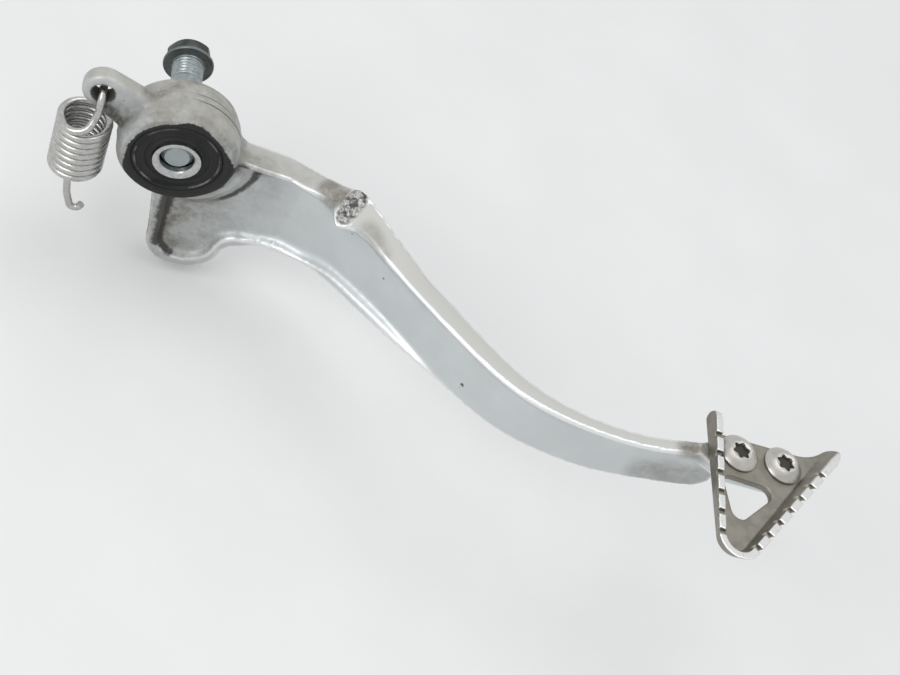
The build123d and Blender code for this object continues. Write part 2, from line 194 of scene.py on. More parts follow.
@dataclass(frozen=True)
class ForgedAlloy:
    """Blasted light alloy, bright on its edges from wear and a painted highlight, with road dirt, black
    grease by the hub and painted shade in its hollows.
    """

    clean: Colour = (0.63, 0.66, 0.668)
    dull: Colour = (0.595, 0.62, 0.628)
    # edge: bright colour of the edges, for real wear and for a painted highlight along the rounded rib edges
    edge: Colour = (0.82, 0.83, 0.825)
    dust: Colour = (0.49, 0.487, 0.455)
    dirt: Colour = (0.170, 0.157, 0.130)
    cake_and_shade: Colour = (0.040, 0.037, 0.033)
    grease: Colour = (0.012, 0.0118, 0.0115)
    speck: Colour = (0.07, 0.065, 0.058)
    torn: Colour = (0.075, 0.073, 0.070)
    scored: Colour = (0.27, 0.268, 0.262)
    seams: tuple[float, float] = (2.2 * MM, -0.9 * MM)

    def build(self) -> bpy.types.Material:
        """Make the material; it reads the attributes that the forging stores on its mesh."""
        g = Graph("forged_alloy_finish")
        grain, cloud = g.noise(0.3 * MM, 2), g.noise(14 * MM, 3)
        blot, fine = g.noise(1.5 * MM, 5), g.noise(0.5 * MM, 4)
        dust, band = g.attribute("dust"), g.attribute("band")
        # wear: worn bright edges, which also carry a painted highlight along the rounded ribs
        wear = g.step(g.math("ADD", g.attribute("wear"), g.math("MULTIPLY", fine, 0.2)), 0.2, 0.95)
        colour = g.mix(g.step(cloud, 0.35, 0.7), rgba(self.dull), rgba(self.clean))
        colour = g.mix(g.math("MULTIPLY", dust, 0.9), colour, rgba(self.dust))
        colour = g.mix(wear, colour, rgba(self.edge))
        patch = g.step(g.noise(6 * MM, 5), 0.32, 0.68)
        soft = g.math("ADD", 0.45, g.math("MULTIPLY", g.math("ADD", blot, patch), 0.5))
        # dirt attribute: road dirt, with painted shade in concave corners, the stop pad's saddle and the
        # blade's end under the step.
        dirt = g.math("MINIMUM", g.math("MULTIPLY", g.attribute("dirt"), soft), 1.0)
        colour = g.mix(dirt, colour, rgba(self.dirt))
        ragged = g.math("SUBTRACT", g.math("MULTIPLY", g.math("ADD", blot, fine), 0.5), 0.5)
        # Caked grease, with painted shadow in the groove at the hub flare's foot and painted shade inside the
        # ear hole.
        cake_and_shade = g.step(g.math("ADD", g.attribute("cake_and_shade"), g.math("MULTIPLY", ragged, 1.1)), 0.2, 0.8)
        colour = g.mix(g.math("MULTIPLY", cake_and_shade, 0.94), colour, rgba(self.cake_and_shade))
        colour = g.mix(g.math("MULTIPLY", self.seam(g), 0.85), colour, rgba(self.cake_and_shade))
        grease = g.step(g.math("ADD", g.attribute("grease"), g.math("MULTIPLY", ragged, 1.3)), 0.34, 0.66)
        colour = g.mix(grease, colour, rgba(self.grease))
        flecks = g.math("MULTIPLY", g.step(fine, 0.58, 0.72), g.step(g.attribute("dirt"), 0.12, 0.6))
        pits = g.math("MULTIPLY", g.step(g.cells(9 * MM), 0.055, 0.03), g.step(cloud, 0.5, 0.55))
        specks = g.math("MAXIMUM", g.math("MULTIPLY", flecks, 0.3), pits)
        colour = g.mix(specks, colour, rgba(self.speck))
        curls = g.noise(1.9 * MM, 5)
        colour = g.mix(g.math("MULTIPLY", band, 0.85), colour, rgba(self.scored))
        colour = g.mix(g.math("MULTIPLY", band, g.step(curls, 0.52, 0.40)), colour, rgba(self.torn))
        veins = g.step(g.math("ABSOLUTE", g.math("SUBTRACT", curls, 0.57)), 0.04, 0.01)
        colour = g.mix(g.math("MULTIPLY", band, g.math("MULTIPLY", veins, 0.6)), colour, rgba(self.edge))
        # Dirt, caked grease, grease, specks and painted shade turn the surface matte.
        soiled_and_shaded = g.math("MAXIMUM", g.math("MULTIPLY", dirt, 0.65), g.math("MAXIMUM", cake_and_shade, grease))
        soiled_and_shaded = g.math("MAXIMUM", soiled_and_shaded, specks)
        matte = g.math("MAXIMUM", soiled_and_shaded, g.math("MULTIPLY", dust, g.math("SUBTRACT", 0.85, wear)))
        metal = g.lerp(matte, 0.86, 0.0)
        rough = g.math("SUBTRACT", g.lerp(matte, 0.47, 0.66), g.math("MULTIPLY", wear, 0.12))
        normal = g.bump(grain, 0.02 * MM, 0.35)
        normal = g.bump(g.noise(3.5 * MM, 2), 0.08 * MM, 0.25, normal)
        normal = g.bump(blot, 0.12 * MM, g.lerp(soiled_and_shaded, 0.06, 0.6), normal)
        normal = g.bump(curls, 0.9 * MM, g.math("MULTIPLY", band, 0.9), normal)
        return g.dress(base=colour, metal=metal, rough=rough, normal=normal, Specular_IOR_Level=0.35)

    def seam(self, g: Graph) -> Socket:
        """Thin, wandering dark lines along the hub's parting."""
        _, y, _ = g.axes()
        place = g.math("ADD", y, g.math("MULTIPLY", g.math("SUBTRACT", g.noise(6 * MM, 4), 0.5), 1.6 * MM))
        away = [g.math("ABSOLUTE", g.math("SUBTRACT", place, seam)) for seam in self.seams]
        lines = [g.step(gap, 0.32 * MM, 0.10 * MM) for gap in away]
        return g.math("MULTIPLY", g.math("MAXIMUM", *lines), g.attribute("seam"))


@dataclass(frozen=True)
class StepSteel:
    """Warm grey blasted steel with bright, scuffed tooth tips."""

    plain: Colour = (0.29, 0.273, 0.235)
    dark: Colour = (0.228, 0.215, 0.183)
    bright: Colour = (0.80, 0.797, 0.78)

    def build(self) -> bpy.types.Material:
        """Make the material; tooth tips and worn edges are stored on the mesh."""
        g = Graph("step_steel_finish")
        grain, cloud, scuff = g.noise(0.3 * MM, 2), g.noise(5 * MM, 4), g.noise(0.9 * MM, 4)
        wear = g.math("ADD", g.attribute("wear"), g.math("MULTIPLY", g.math("SUBTRACT", scuff, 0.5), 0.5))
        edge = g.step(wear, 0.35, 0.8)
        tip = g.math("MULTIPLY", g.attribute("tip"), g.step(scuff, 0.1, 0.45))
        bare = g.math("MAXIMUM", g.math("MULTIPLY", edge, 0.75), tip)
        colour = g.mix(g.step(cloud, 0.36, 0.66), rgba(self.dark), rgba(self.plain))
        colour = g.mix(bare, colour, rgba(self.bright))
        rough = g.lerp(bare, 0.44, 0.22)
        normal = g.bump(grain, 0.02 * MM, 0.4)
        normal = g.bump(scuff, 0.05 * MM, 0.3, normal)
        return g.dress(base=colour, metal=0.95, rough=rough, normal=normal)


@dataclass(frozen=True)
class TurnedSteel:
    """Bright steel with fine turning marks about the pivot axis."""

    name: str = "sleeve_finish"
    base: Colour = (0.54, 0.55, 0.545)
    dark: Colour = (0.44, 0.445, 0.44)
    mark: float = 0.28 * MM

    def build(self) -> bpy.types.Material:
        """Make the material; the marks are rings of the distance from the pivot axis."""
        g = Graph(self.name)
        blot, film = g.noise(1.2 * MM, 4), g.noise(4 * MM, 3)
        rings = g.math("SINE", g.math("MULTIPLY", g.radius(), 2 * math.pi / self.mark))
        colour = g.mix(g.step(blot, 0.35, 0.7), rgba(self.dark), rgba(self.base))
        rough = g.lerp(g.step(film, 0.35, 0.7), 0.16, 0.3)
        normal = g.bump(rings, 0.004 * MM, 0.5)
        return g.dress(base=colour, metal=1.0, rough=rough, normal=normal)


@dataclass(frozen=True)
class GreasyRubber:
    """Black nitrile with a greasy film and dust caught along its moulded rings."""

    name: str = "seal_finish"
    base: Colour = (0.013, 0.013, 0.0135)
    film: Colour = (0.024, 0.0235, 0.0225)
    dust: Colour = (0.24, 0.235, 0.225)
    ring: float = 12.9 * MM

    def build(self) -> bpy.types.Material:
        """Make the material; a broken pale line marks the seat's edge."""
        g = Graph(self.name)
        blot, smear = g.noise(0.8 * MM, 5), g.noise(5 * MM, 4)
        radius = g.radius()
        away = g.math("ABSOLUTE", g.math("SUBTRACT", radius, self.ring))
        line = g.math("MULTIPLY", g.step(away, 0.35 * MM, 0.06 * MM), g.step(smear, 0.48, 0.66))
        colour = g.mix(g.step(smear, 0.35, 0.75), rgba(self.base), rgba(self.film))
        colour = g.mix(g.math("MULTIPLY", line, 0.7), colour, rgba(self.dust))
        colour = g.mix(g.math("MULTIPLY", g.step(blot, 0.66, 0.8), 0.3), colour, rgba(self.dust))
        rough = g.lerp(g.step(smear, 0.35, 0.7), 0.5, 0.68)
        normal = g.bump(blot, 0.06 * MM, 0.5)
        return g.dress(base=colour, metal=0.0, rough=rough, normal=normal, Specular_IOR_Level=0.22)


@dataclass(frozen=True)
class DullZinc:
    """Zinc-plated bolt: blue-grey shank, and a darker, stained head."""

    shank: Colour = (0.35, 0.39, 0.395)
    head: Colour = (0.115, 0.130, 0.120)
    stain: Colour = (0.060, 0.064, 0.056)
    flange_y: float = 31.6 * MM

    def build(self) -> bpy.types.Material:
        """Make the material; shank and head differ by their place along the axis."""
        g = Graph("bolt_finish")
        blot, cloud, grain = g.noise(1.1 * MM, 5), g.noise(4 * MM, 4), g.noise(0.25 * MM, 2)
        _, y, _ = g.axes()
        head = g.step(y, self.flange_y, self.flange_y + 0.3 * MM)
        spots = g.math("MULTIPLY", g.step(blot, 0.42, 0.75), g.lerp(g.step(y, -6 * MM, 10 * MM), 0.12, 0.5))
        colour = g.mix(spots, rgba(self.shank), rgba(self.head))
        stained = g.mix(g.step(cloud, 0.38, 0.68), rgba(self.head), rgba(self.stain))
        stained = g.mix(g.math("MULTIPLY", g.attribute("wear"), 0.4), stained, rgba(self.shank))
        colour = g.mix(head, colour, stained)
        rough = g.lerp(head, 0.34, 0.5)
        rough = g.math("ADD", rough, g.math("MULTIPLY", g.math("SUBTRACT", blot, 0.5), 0.2))
        normal = g.bump(grain, 0.015 * MM, 0.4)
        normal = g.bump(blot, 0.05 * MM, 0.35, normal)
        return g.dress(base=colour, metal=0.9, rough=rough, normal=normal)


@dataclass(frozen=True)
class SatinStainless:
    """Satin screw steel, dirty and darkened by painted shade down in the socket."""

    base: Colour = (0.56, 0.54, 0.50)
    shade: Colour = (0.47, 0.45, 0.415)
    # socket: colour down in the drive socket, for dirt and painted shade
    socket: Colour = (0.055, 0.05, 0.038)
    rim: Colour = (0.74, 0.72, 0.67)

    def build(self) -> bpy.types.Material:
        """Make the material; the socket's depth is read from the stored attribute."""
        g = Graph("screw_finish")
        blot, cloud = g.noise(0.7 * MM, 4), g.noise(3 * MM, 3)
        colour = g.mix(g.step(cloud, 0.35, 0.65), rgba(self.shade), rgba(self.base))
        # Darker with depth down the socket: dirt and painted shade.
        sunk = g.step(g.math("ADD", g.attribute("socket"), g.math("MULTIPLY", blot, 0.3)), 0.35, 0.8)
        colour = g.mix(sunk, colour, rgba(self.socket))
        colour = g.mix(g.math("MULTIPLY", g.attribute("rim"), g.step(blot, 0.3, 0.5)), colour, rgba(self.rim))
        rough = g.lerp(sunk, 0.32, 0.6)
        normal = g.bump(blot, 0.03 * MM, 0.4)
        return g.dress(base=colour, metal=g.lerp(sunk, 1.0, 0.5), rough=rough, normal=normal)


@dataclass(frozen=True)
class DrawnWire:
    """Bright drawn spring wire with faint drawing marks and a thin film of dirt."""

    base: Colour = (0.60, 0.595, 0.575)
    shade: Colour = (0.42, 0.415, 0.40)
    film: Colour = (0.16, 0.15, 0.135)

    def build(self) -> bpy.types.Material:
        """Make the material; marks run round the coil as flat, stretched noise."""
        g = Graph("spring_finish")
        marks = g.noise(0.5 * MM, 3, stretch=(0.25, 0.25, 2.5))
        cloud, blot = g.noise(6 * MM, 3), g.noise(1.3 * MM, 4)
        colour = g.mix(g.step(marks, 0.3, 0.7), rgba(self.shade), rgba(self.base))
        film = g.math("MULTIPLY", g.step(cloud, 0.45, 0.75), g.step(blot, 0.4, 0.7))
        colour = g.mix(g.math("MULTIPLY", film, 0.45), colour, rgba(self.film))
        rough = g.lerp(g.step(blot, 0.3, 0.7), 0.24, 0.4)
        return g.dress(base=colour, metal=1.0, rough=rough, normal=g.bump(marks, 0.01 * MM, 0.4))


@dataclass(frozen=True)
class PaleTable:
    """Pale, faintly mottled floor."""

    base: Colour = (0.735, 0.735, 0.73)
    shade: Colour = (0.715, 0.715, 0.71)

    def build(self) -> bpy.types.Material:
        """Make the material."""
        g = Graph("floor_finish")
        colour = g.mix(g.step(g.noise(60 * MM, 4), 0.35, 0.7), rgba(self.shade), rgba(self.base))
        return g.dress(base=colour, metal=0.0, rough=0.7)


class Shop:
    """Bench operations that the sub-assemblies share."""

    @staticmethod
    def pick(piece: bpy.types.Object) -> None:
        """Make a piece the only selected and active one."""
        if bpy.context.object and bpy.context.object.mode != "OBJECT":
            bpy.ops.object.mode_set(mode="OBJECT")
        bpy.ops.object.select_all(action="DESELECT")
        piece.hide_set(False)
        piece.select_set(True)
        bpy.context.view_layer.objects.active = piece

    @staticmethod
    def copy_node(node: str, name: str) -> bpy.types.Object:
        """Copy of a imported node's mesh, with its loose triangles joined.

        Args:
            node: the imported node.
            name: name of the new piece.

        Returns:
            The copy, at the origin.
        """
        piece = bpy.data.objects.new(name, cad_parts[node].data.copy())
        piece.data.materials.clear()
        bpy.context.scene.collection.objects.link(piece)
        Shop.pick(piece)
        bpy.ops.object.mode_set(mode="EDIT")
        bpy.ops.mesh.select_all(action="SELECT")
        bpy.ops.mesh.remove_doubles(threshold=0.001 * MM)
        bpy.ops.object.mode_set(mode="OBJECT")
        return piece

    @staticmethod
    def modify(piece: bpy.types.Object, kind: str, **settings: object) -> None:
        """Add a modifier to a piece, set it and apply it."""
        Shop.pick(piece)
        bpy.ops.object.modifier_add(type=kind)
        made = piece.modifiers[-1]
        for key, value in settings.items():
            setattr(made, key, value)
        bpy.ops.object.modifier_apply(modifier=made.name)

    @staticmethod
    def turn(name: str, profile: list[tuple[float, float]], steps: int) -> bpy.types.Object:
        """Turn a profile about the pivot axis.

        Args:
            name: name of the new piece.
            profile: (radius, y) corners in metres, in order.
            steps: facets in a full turn.

        Returns:
            The closed, turned piece.
        """
        bpy.ops.object.select_all(action="DESELECT")
        bpy.ops.mesh.primitive_plane_add(size=MM)
        piece = bpy.context.object
        piece.name = name
        bpy.ops.object.mode_set(mode="EDIT")
        bpy.ops.mesh.select_all(action="SELECT")
        bpy.ops.mesh.merge(type="CENTER")
        at = Vector((profile[0][0], profile[0][1], 0))
        bpy.ops.transform.translate(value=at)
        for radius, y in profile[1:]:
            to = Vector((radius, y, 0))
            bpy.ops.mesh.extrude_vertices_move(TRANSFORM_OT_translate={"value": to - at})
            at = to
        bpy.ops.mesh.select_all(action="SELECT")
        bpy.ops.mesh.spin(steps=steps, angle=2 * math.pi, center=(0, 0, 0), axis=(0, 1, 0))
        bpy.ops.mesh.select_all(action="SELECT")
        bpy.ops.mesh.remove_doubles(threshold=0.002 * MM)
        bpy.ops.mesh.normals_make_consistent(inside=False)
        bpy.ops.object.mode_set(mode="OBJECT")
        return piece

    @staticmethod
    def points(piece: bpy.types.Object) -> np.ndarray:
        """A mesh's vertices as rows of x, y and z."""
        flat = np.zeros(len(piece.data.vertices) * 3, np.float32)
        piece.data.vertices.foreach_get("co", flat)
        return flat.reshape(-1, 3).astype(float)

    @staticmethod
    def normals(piece: bpy.types.Object) -> np.ndarray:
        """A mesh's vertex normals as rows of x, y and z."""
        flat = np.zeros(len(piece.data.vertices) * 3, np.float32)
        piece.data.vertex_normals.foreach_get("vector", flat)
        return flat.reshape(-1, 3).astype(float)

    @staticmethod
    def move(piece: bpy.types.Object, points: np.ndarray) -> None:
        """Put a mesh's vertices at new places."""
        piece.data.vertices.foreach_set("co", points.astype(np.float32).ravel())
        piece.data.update()

    @staticmethod
    def store(piece: bpy.types.Object, name: str, values: np.ndarray) -> None:
        """Keep one number for each vertex as an attribute of the mesh."""
        made = piece.data.attributes.new(name, "FLOAT", "POINT")
        made.data.foreach_set("value", values.astype(np.float32))

    @staticmethod
    def edges(piece: bpy.types.Object) -> np.ndarray:
        """Vertex numbers at the two ends of each edge."""
        flat = np.zeros(len(piece.data.edges) * 2, np.int32)
        piece.data.edges.foreach_get("vertices", flat)
        return flat.reshape(-1, 2)

    @staticmethod
    def curvature(piece: bpy.types.Object, passes: int) -> np.ndarray:
        """Mean curvature of the surface, positive where it bulges.

        Args:
            piece: a closed mesh of even quads.
            passes: rounds of averaging with the neighbours.

        Returns:
            One value for each vertex, in turns of direction per millimetre.
        """
        points, normals, ends = Shop.points(piece), Shop.normals(piece), Shop.edges(piece)
        a, b = ends[:, 0], ends[:, 1]
        run = points[b] - points[a]
        square = np.maximum((run * run).sum(1), 1e-16)
        count = np.bincount(ends.ravel(), minlength=len(points)).clip(1)
        bend = np.bincount(a, -(run * normals[a]).sum(1) / square, len(points))
        bend += np.bincount(b, (run * normals[b]).sum(1) / square, len(points))
        bend = bend / count * MM
        for _ in range(passes):
            total = np.bincount(a, bend[b], len(points)) + np.bincount(b, bend[a], len(points))
            bend = (bend + total) / (1 + count)
        return bend

    @staticmethod
    def relax(piece: bpy.types.Object, weights: np.ndarray, rounds: int, along: int | None = None) -> None:
        """Round a mesh off by drawing each vertex towards the mean of its neighbours.

        Args:
            piece: the mesh to round.
            weights: how strongly each vertex gives way, from 0 to 1.
            rounds: how often it is done.
            along: axis to even the mesh out along, instead of every way.
        """
        points, ends = Shop.points(piece), Shop.edges(piece)
        if along is not None:
            run = np.abs(points[ends[:, 1]] - points[ends[:, 0]])
            ends = ends[run[:, along] > 0.6 * np.linalg.norm(run, axis=1)]
        a, b = ends[:, 0], ends[:, 1]
        count = np.bincount(ends.ravel(), minlength=len(points))
        weights = weights * (count > 1)
        count = count.clip(1)
        for _ in range(rounds):
            for axis in (i for i in range(3) if i != along):
                row = points[:, axis]
                mean = (np.bincount(a, row[b], len(row)) + np.bincount(b, row[a], len(row))) / count
                points[:, axis] = row + 0.5 * weights * (mean - row)
        Shop.move(piece, points)

    @staticmethod
    def smooth(piece: bpy.types.Object, angle: float) -> None:
        """Shade a piece smooth across edges flatter than an angle in degrees."""
        Shop.pick(piece)
        bpy.ops.object.shade_smooth_by_angle(angle=math.radians(angle))

    @staticmethod
    def hand_over(
        piece: bpy.types.Object, finish: bpy.types.Material, body: Body, slot: Slot, node: str
    ) -> None:
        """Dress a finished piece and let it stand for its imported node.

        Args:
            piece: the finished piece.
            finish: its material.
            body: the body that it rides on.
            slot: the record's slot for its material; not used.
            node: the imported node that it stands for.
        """
        piece.data.materials.clear()
        piece.data.materials.append(finish)
        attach(piece, body.value)
        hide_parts(node)
        LOG.info("%s: %d faces, for node %s", piece.name, len(piece.data.polygons), node)


def ease(values: np.ndarray, low: float, high: float) -> np.ndarray:
    """Smooth step of an array from 0 at low to 1 at high."""
    share = np.clip((values - low) / (high - low), 0, 1)
    return share * share * (3 - 2 * share)


@dataclass(frozen=True)
class Smudge:
    """A soft ball of dirt in millimetres, stretched from one point to another."""

    start: Point
    end: Point
    radius: float
    strength: float

    def weigh(self, points: np.ndarray) -> np.ndarray:
        """Strength of the smudge at each point.

        Args:
            points: rows of x, y and z in metres.

        Returns:
            One value from 0 to the smudge's strength for each point.
        """
        a, b = np.array(self.start) * MM, np.array(self.end) * MM
        along = b - a
        share = np.clip(((points - a) @ along) / max(along @ along, 1e-12), 0, 1)
        away = np.linalg.norm(points - a - share[:, None] * along, axis=1)
        return self.strength * ease(away, self.radius * MM, 0.25 * self.radius * MM)


@dataclass
class Forging:
    """The forged arm, with softened edges, a parting ridge round the hub and a battered stop pad."""

    voxel: float = 0.6 * MM
    soften: int = 6
    stop_middle: Point = (55.8, -13.0, 7.4)
    stop_normal: Point = (-0.203, -0.424, 0.883)
    ear_hole: tuple[float, float] = (-27.6, 11.5)
    hub_right: tuple[float, float] = (0.907, 0.42)
    hub_side: tuple[float, float] = (17.2 * MM, 20.5 * MM)
    flare_start: float = 18.6
    flare_end: float = 27.5
    flare_front: float = -7.0
    flare_drop: float = 4.9
    ridge_x: float = 62.0
    web_x: float = 40.0
    joint_x: float = 37.2
    rib_top: float = -18.0
    rib_span: tuple[float, float] = (31.0, 45.0)
    rib_lean: tuple[float, float] = (-0.05, -0.42)
    rib_climb: tuple[float, float] = (0.62, 0.30)
    edge_sag: float = 1.2
    face_sag: float = 1.4
    stop_rounds: int = 22
    web_rounds: int = 80
    joint_rounds: tuple[int, int] = (14, 5)
    sweep_rounds: int = 40
    band_axis: Point = (0.435, 0.769, 0.469)
    band_half: float = 7.6 * MM
    band_width: float = 3.1 * MM
    band_shift: float = -0.8 * MM
    lobe: float = 2.2 * MM
    lobe_reach: float = 5.2 * MM
    lip_height: float = 0.7 * MM
    hollow: float = 0.7 * MM
    pit_depth: float = 1.0 * MM
    dirt: tuple[Smudge, ...] = (
        Smudge((11, -2, -40), (17, -2, -42), 12, 0.55),
        Smudge((27, -2, -14), (30, -2, -8), 12, 0.35),
        Smudge((-14, 0, 16), (-8, 4, 18), 6, 0.8),
        Smudge((-6, 8, 17), (12, 8, 14), 5, 0.75),
        Smudge((-26, -3, 8), (-17, -3, 4), 6.5, 0.85),
        Smudge((18, -4, 4), (28, -3, 1), 8, 0.6),
        Smudge((26, 0, 3), (44, -2, 4), 8, 0.3),
        # Darkens the concave saddle left of the stop pad: painted shade, with dirt.
        Smudge((48, -7, 5), (53, -11, 7), 6.5, 0.85),
        Smudge((61.5, -19.5, 6), (66, -26, 4.5), 5, 0.4),
        # The next two darken the blade's end where it meets the step: dirt and painted shade.
        Smudge((158, -79, 2), (172, -80, 6), 10, 0.45),
        Smudge((164, -77, 16), (172, -78, 17), 5, 0.8),
    )
    cake_and_shade: tuple[Smudge, ...] = (
        Smudge((3.8, -4, -17), (5.6, -4, -31), 4.4, 1.0),
        Smudge((5.6, -4, -31), (7.6, -4, -43), 3.6, 1.0),
        Smudge((7.6, -4, -43), (13, -4, -47.5), 2.4, 0.75),
        Smudge((14, -9, 1), (20.5, -5.5, 0), 4.2, 1.0),
        Smudge((20.5, -5.0, 0), (27, -2.8, -0.8), 2.4, 0.75),
        Smudge((-25, -3, 7), (-20, -3, 2.5), 4.0, 0.62),
        Smudge((-27, -2, 8), (-26, -2, 11), 3.4, 0.7),
        Smudge((99.3, -57.4, -7.9), (99.8, -57.8, -7.9), 0.7, 1.0),
    )
    finish: ForgedAlloy = field(default_factory=ForgedAlloy)

    def build(self) -> bpy.types.Object:
        """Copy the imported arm, soften it and work its hub and stop pad."""
        arm = Shop.copy_node("arm", "arm_forging")
        Shop.modify(arm, "REMESH", mode="VOXEL", voxel_size=self.voxel, adaptivity=0.0)
        Shop.modify(arm, "SMOOTH", factor=0.5, iterations=self.soften)
        self.round_off(arm)
        self.flare_hub(arm)
        self.ridge_hub(arm)
        self.batter_stop(arm)
        self.store_wear(arm)
        Shop.smooth(arm, 60)
        Shop.hand_over(arm, self.finish.build(), Body.PEDAL, Slot.ALLOY, "arm")
        return arm

    def round_off(self, arm: bpy.types.Object) -> None:
        """Round off the stop pad with its ridge, and the lower rib and the web where they leave the root."""
        points = Shop.points(arm)
        away = np.linalg.norm(points - np.array(self.stop_middle) * MM, axis=1)
        ridge = ease(np.abs(points[:, 0] - self.ridge_x * MM), 28 * MM, 18 * MM) * (points[:, 2] > 1 * MM)
        Shop.relax(arm, np.maximum(ridge, ease(away, 13 * MM, 8 * MM)), self.stop_rounds)
        self.lead_rib(arm)
        x, _, z = Shop.points(arm).T / MM
        web = ease(np.abs(x - self.web_x), 12, 5) * ease(z, -1, -5) * ease(z, -20, -16)
        Shop.relax(arm, web, self.web_rounds)

    def trace_rib(
        self, arm: bpy.types.Object, stations: np.ndarray, half: float, lip: float
    ) -> tuple[np.ndarray, np.ndarray]:
        """Follow the front face of lobe and lower rib, and its lowest edge.

        Args:
            arm: the arm's mesh.
            stations: places along x in millimetres.
            half: half the width of the slice taken at each station.
            lip: how far behind the front face the edge may lie.

        Returns:
            y of the face and z of the edge at each station, in millimetres.
        """
        x, y, z = Shop.points(arm).T / MM
        rings = [(np.abs(x - s) < half) & (z < self.rib_top) for s in stations]
        front = np.array([y[ring].min() for ring in rings])
        low = np.array([z[ring & (y < f + lip)].min() for ring, f in zip(rings, front)])
        return front, low

    def lead_rib(self, arm: bpy.types.Object) -> None:
        """Lead the lower rib's outer edge from the root into the blade in one sweep."""
        points = Shop.points(arm)
        x, y, z = points.T / MM
        first, last = self.rib_span
        stations = np.arange(first, last + 0.1, 0.5)
        front, low = self.trace_rib(arm, stations, 0.5, 1.0)
        share = (stations - first) / (last - first)
        lean, climb = self.sweep(front, share, self.rib_lean), self.sweep(low, share, self.rib_climb)
        depth = y - np.interp(x, stations, front)
        weight = ease(depth, 9, 1) * ease(z, self.rib_top, self.rib_top - 6) * MM
        points[:, 1] += weight * np.interp(x, stations, lean - front, 0, 0)
        points[:, 2] += weight * np.interp(x, stations, climb - low, 0, 0)
        Shop.move(arm, points)
        rib = ease(z, self.rib_top + 2, self.rib_top - 2)
        joint = ease(np.abs(x - self.joint_x), 4.5, 2.5) * rib
        Shop.relax(arm, joint, self.joint_rounds[0])
        Shop.relax(arm, ease(x, first, first + 3) * ease(x, last, last - 4) * rib, self.sweep_rounds, along=0)
        Shop.relax(arm, joint, self.joint_rounds[1])
        self.sag_rib(arm)

    def sag_rib(self, arm: bpy.types.Object) -> None:
        """Let the outer edge of lobe and lower rib hang lower, and the rib's inner edge more so."""
        points = Shop.points(arm)
        x, y, z = points.T / MM
        stations = np.arange(2.0, 62.5, 1.0)
        front, low = self.trace_rib(arm, stations, 0.8, 1.5)
        depth, height = y - np.interp(x, stations, front), z - np.interp(x, stations, low)
        face = ease(x, 32, 42) * ease(x, 62, 48) * ease(height, 0.5, 3.5)
        sag = self.edge_sag * ease(x, 60, 46) + self.face_sag * face
        points[:, 2] -= sag * ease(depth, 7, 2) * ease(z, -17, -22) * MM
        Shop.move(arm, points)

    def sweep(self, line: np.ndarray, share: np.ndarray, slopes: tuple[float, float]) -> np.ndarray:
        """Cubic between a line's two ends, with a slope at each.

        Args:
            line: heights along the rib's span, of which the ends are kept.
            share: place of each height along the span, from 0 to 1.
            slopes: rise per millimetre at the two ends.

        Returns:
            The smooth heights.
        """
        run = self.rib_span[1] - self.rib_span[0]
        mixed = share * share * (3 - 2 * share)
        bends = share * (1 - share) ** 2 * slopes[0] - share * share * (1 - share) * slopes[1]
        return line[0] + (line[-1] - line[0]) * mixed + run * bends

    def flare_hub(self, arm: bpy.types.Object) -> None:
        """Slope the hub's front down to the web on its lower forward side."""
        points = Shop.points(arm)
        x, y, z = points.T / MM
        radius, turn = np.hypot(x, z), np.degrees(np.arctan2(z, x))
        share = ease(turn, -88, -60) * ease(turn, -1, -14) * (np.abs(turn) < 90)
        end = self.flare_end - 3 * ease(turn, -50, -85)
        flank = self.flare_front + self.flare_drop * (radius - self.flare_start) / (end - self.flare_start)
        push = np.minimum(flank - y, 0) * (y < -1.5) * (radius > 18.4)
        points[:, 1] += share * push * MM
        Shop.move(arm, points)
        Shop.relax(arm, share * (radius > 18) * (radius < 30) * (y < -1.5), 8)

    def ridge_hub(self, arm: bpy.types.Object) -> None:
        """Raise the parting ridge and sink the lines beside it on the hub's round side."""
        points, normals = Shop.points(arm), Shop.normals(arm)
        radius, y = np.hypot(points[:, 0], points[:, 2]), points[:, 1] / MM
        out = (points[:, 0] * normals[:, 0] + points[:, 2] * normals[:, 2]) / np.maximum(radius, 1e-6)
        share = ease(out, 0.7, 0.95) * (radius > self.hub_side[0]) * (radius < self.hub_side[1])
        ridge = 0.28 * np.exp(-((y - 1.0) / 0.5) ** 2) - 0.22 * np.exp(-((y - 2.4) / 0.6) ** 2)
        ridge += 0.12 * np.exp(-((y - 4.3) / 0.5) ** 2) - 0.12 * np.exp(-((y + 2.6) / 0.5) ** 2)
        Shop.move(arm, points + normals * (ridge * share * MM)[:, None])

    def batter_stop(self, arm: bpy.types.Object) -> None:
        """Bulge the stop pad over the rib's front edge and beat a ragged, pitted band into it."""
        points, normals = Shop.points(arm), Shop.normals(arm)
        normal, along = np.array(self.stop_normal), np.array(self.band_axis)
        foot = np.array(self.stop_middle) * MM - along * self.band_half
        near = np.exp(-((np.linalg.norm(points - foot, axis=1) / self.lobe_reach) ** 2))
        points -= np.outer(self.lobe * near, along)
        rel = points - np.array(self.stop_middle) * MM
        off, run = rel @ normal, rel @ along
        across = rel @ np.cross(along, normal) - self.band_shift
        facing = ease(normals @ normal, 0.1, 0.5) * ease(np.abs(off), 5 * MM, 2.5 * MM)
        band = facing * ease(np.hypot(run / self.band_half, across / self.band_width), 1.2, 0.7)
        lip = np.exp(-((run / self.band_half + 1.1) / 0.17) ** 2) * ease(np.abs(across), 4.5 * MM, 2 * MM)
        shift = self.lip_height * lip * facing - self.hollow * band
        for i in np.flatnonzero(band > 0.01):
            rough = noise.fractal(Vector(points[i]) * 430, 0.6, 2.2, 3)
            shift[i] += band[i] * self.pit_depth * max(-0.7, min(0.6, rough))
        Shop.move(arm, points + np.outer(shift, normal))
        Shop.store(arm, "band", band)

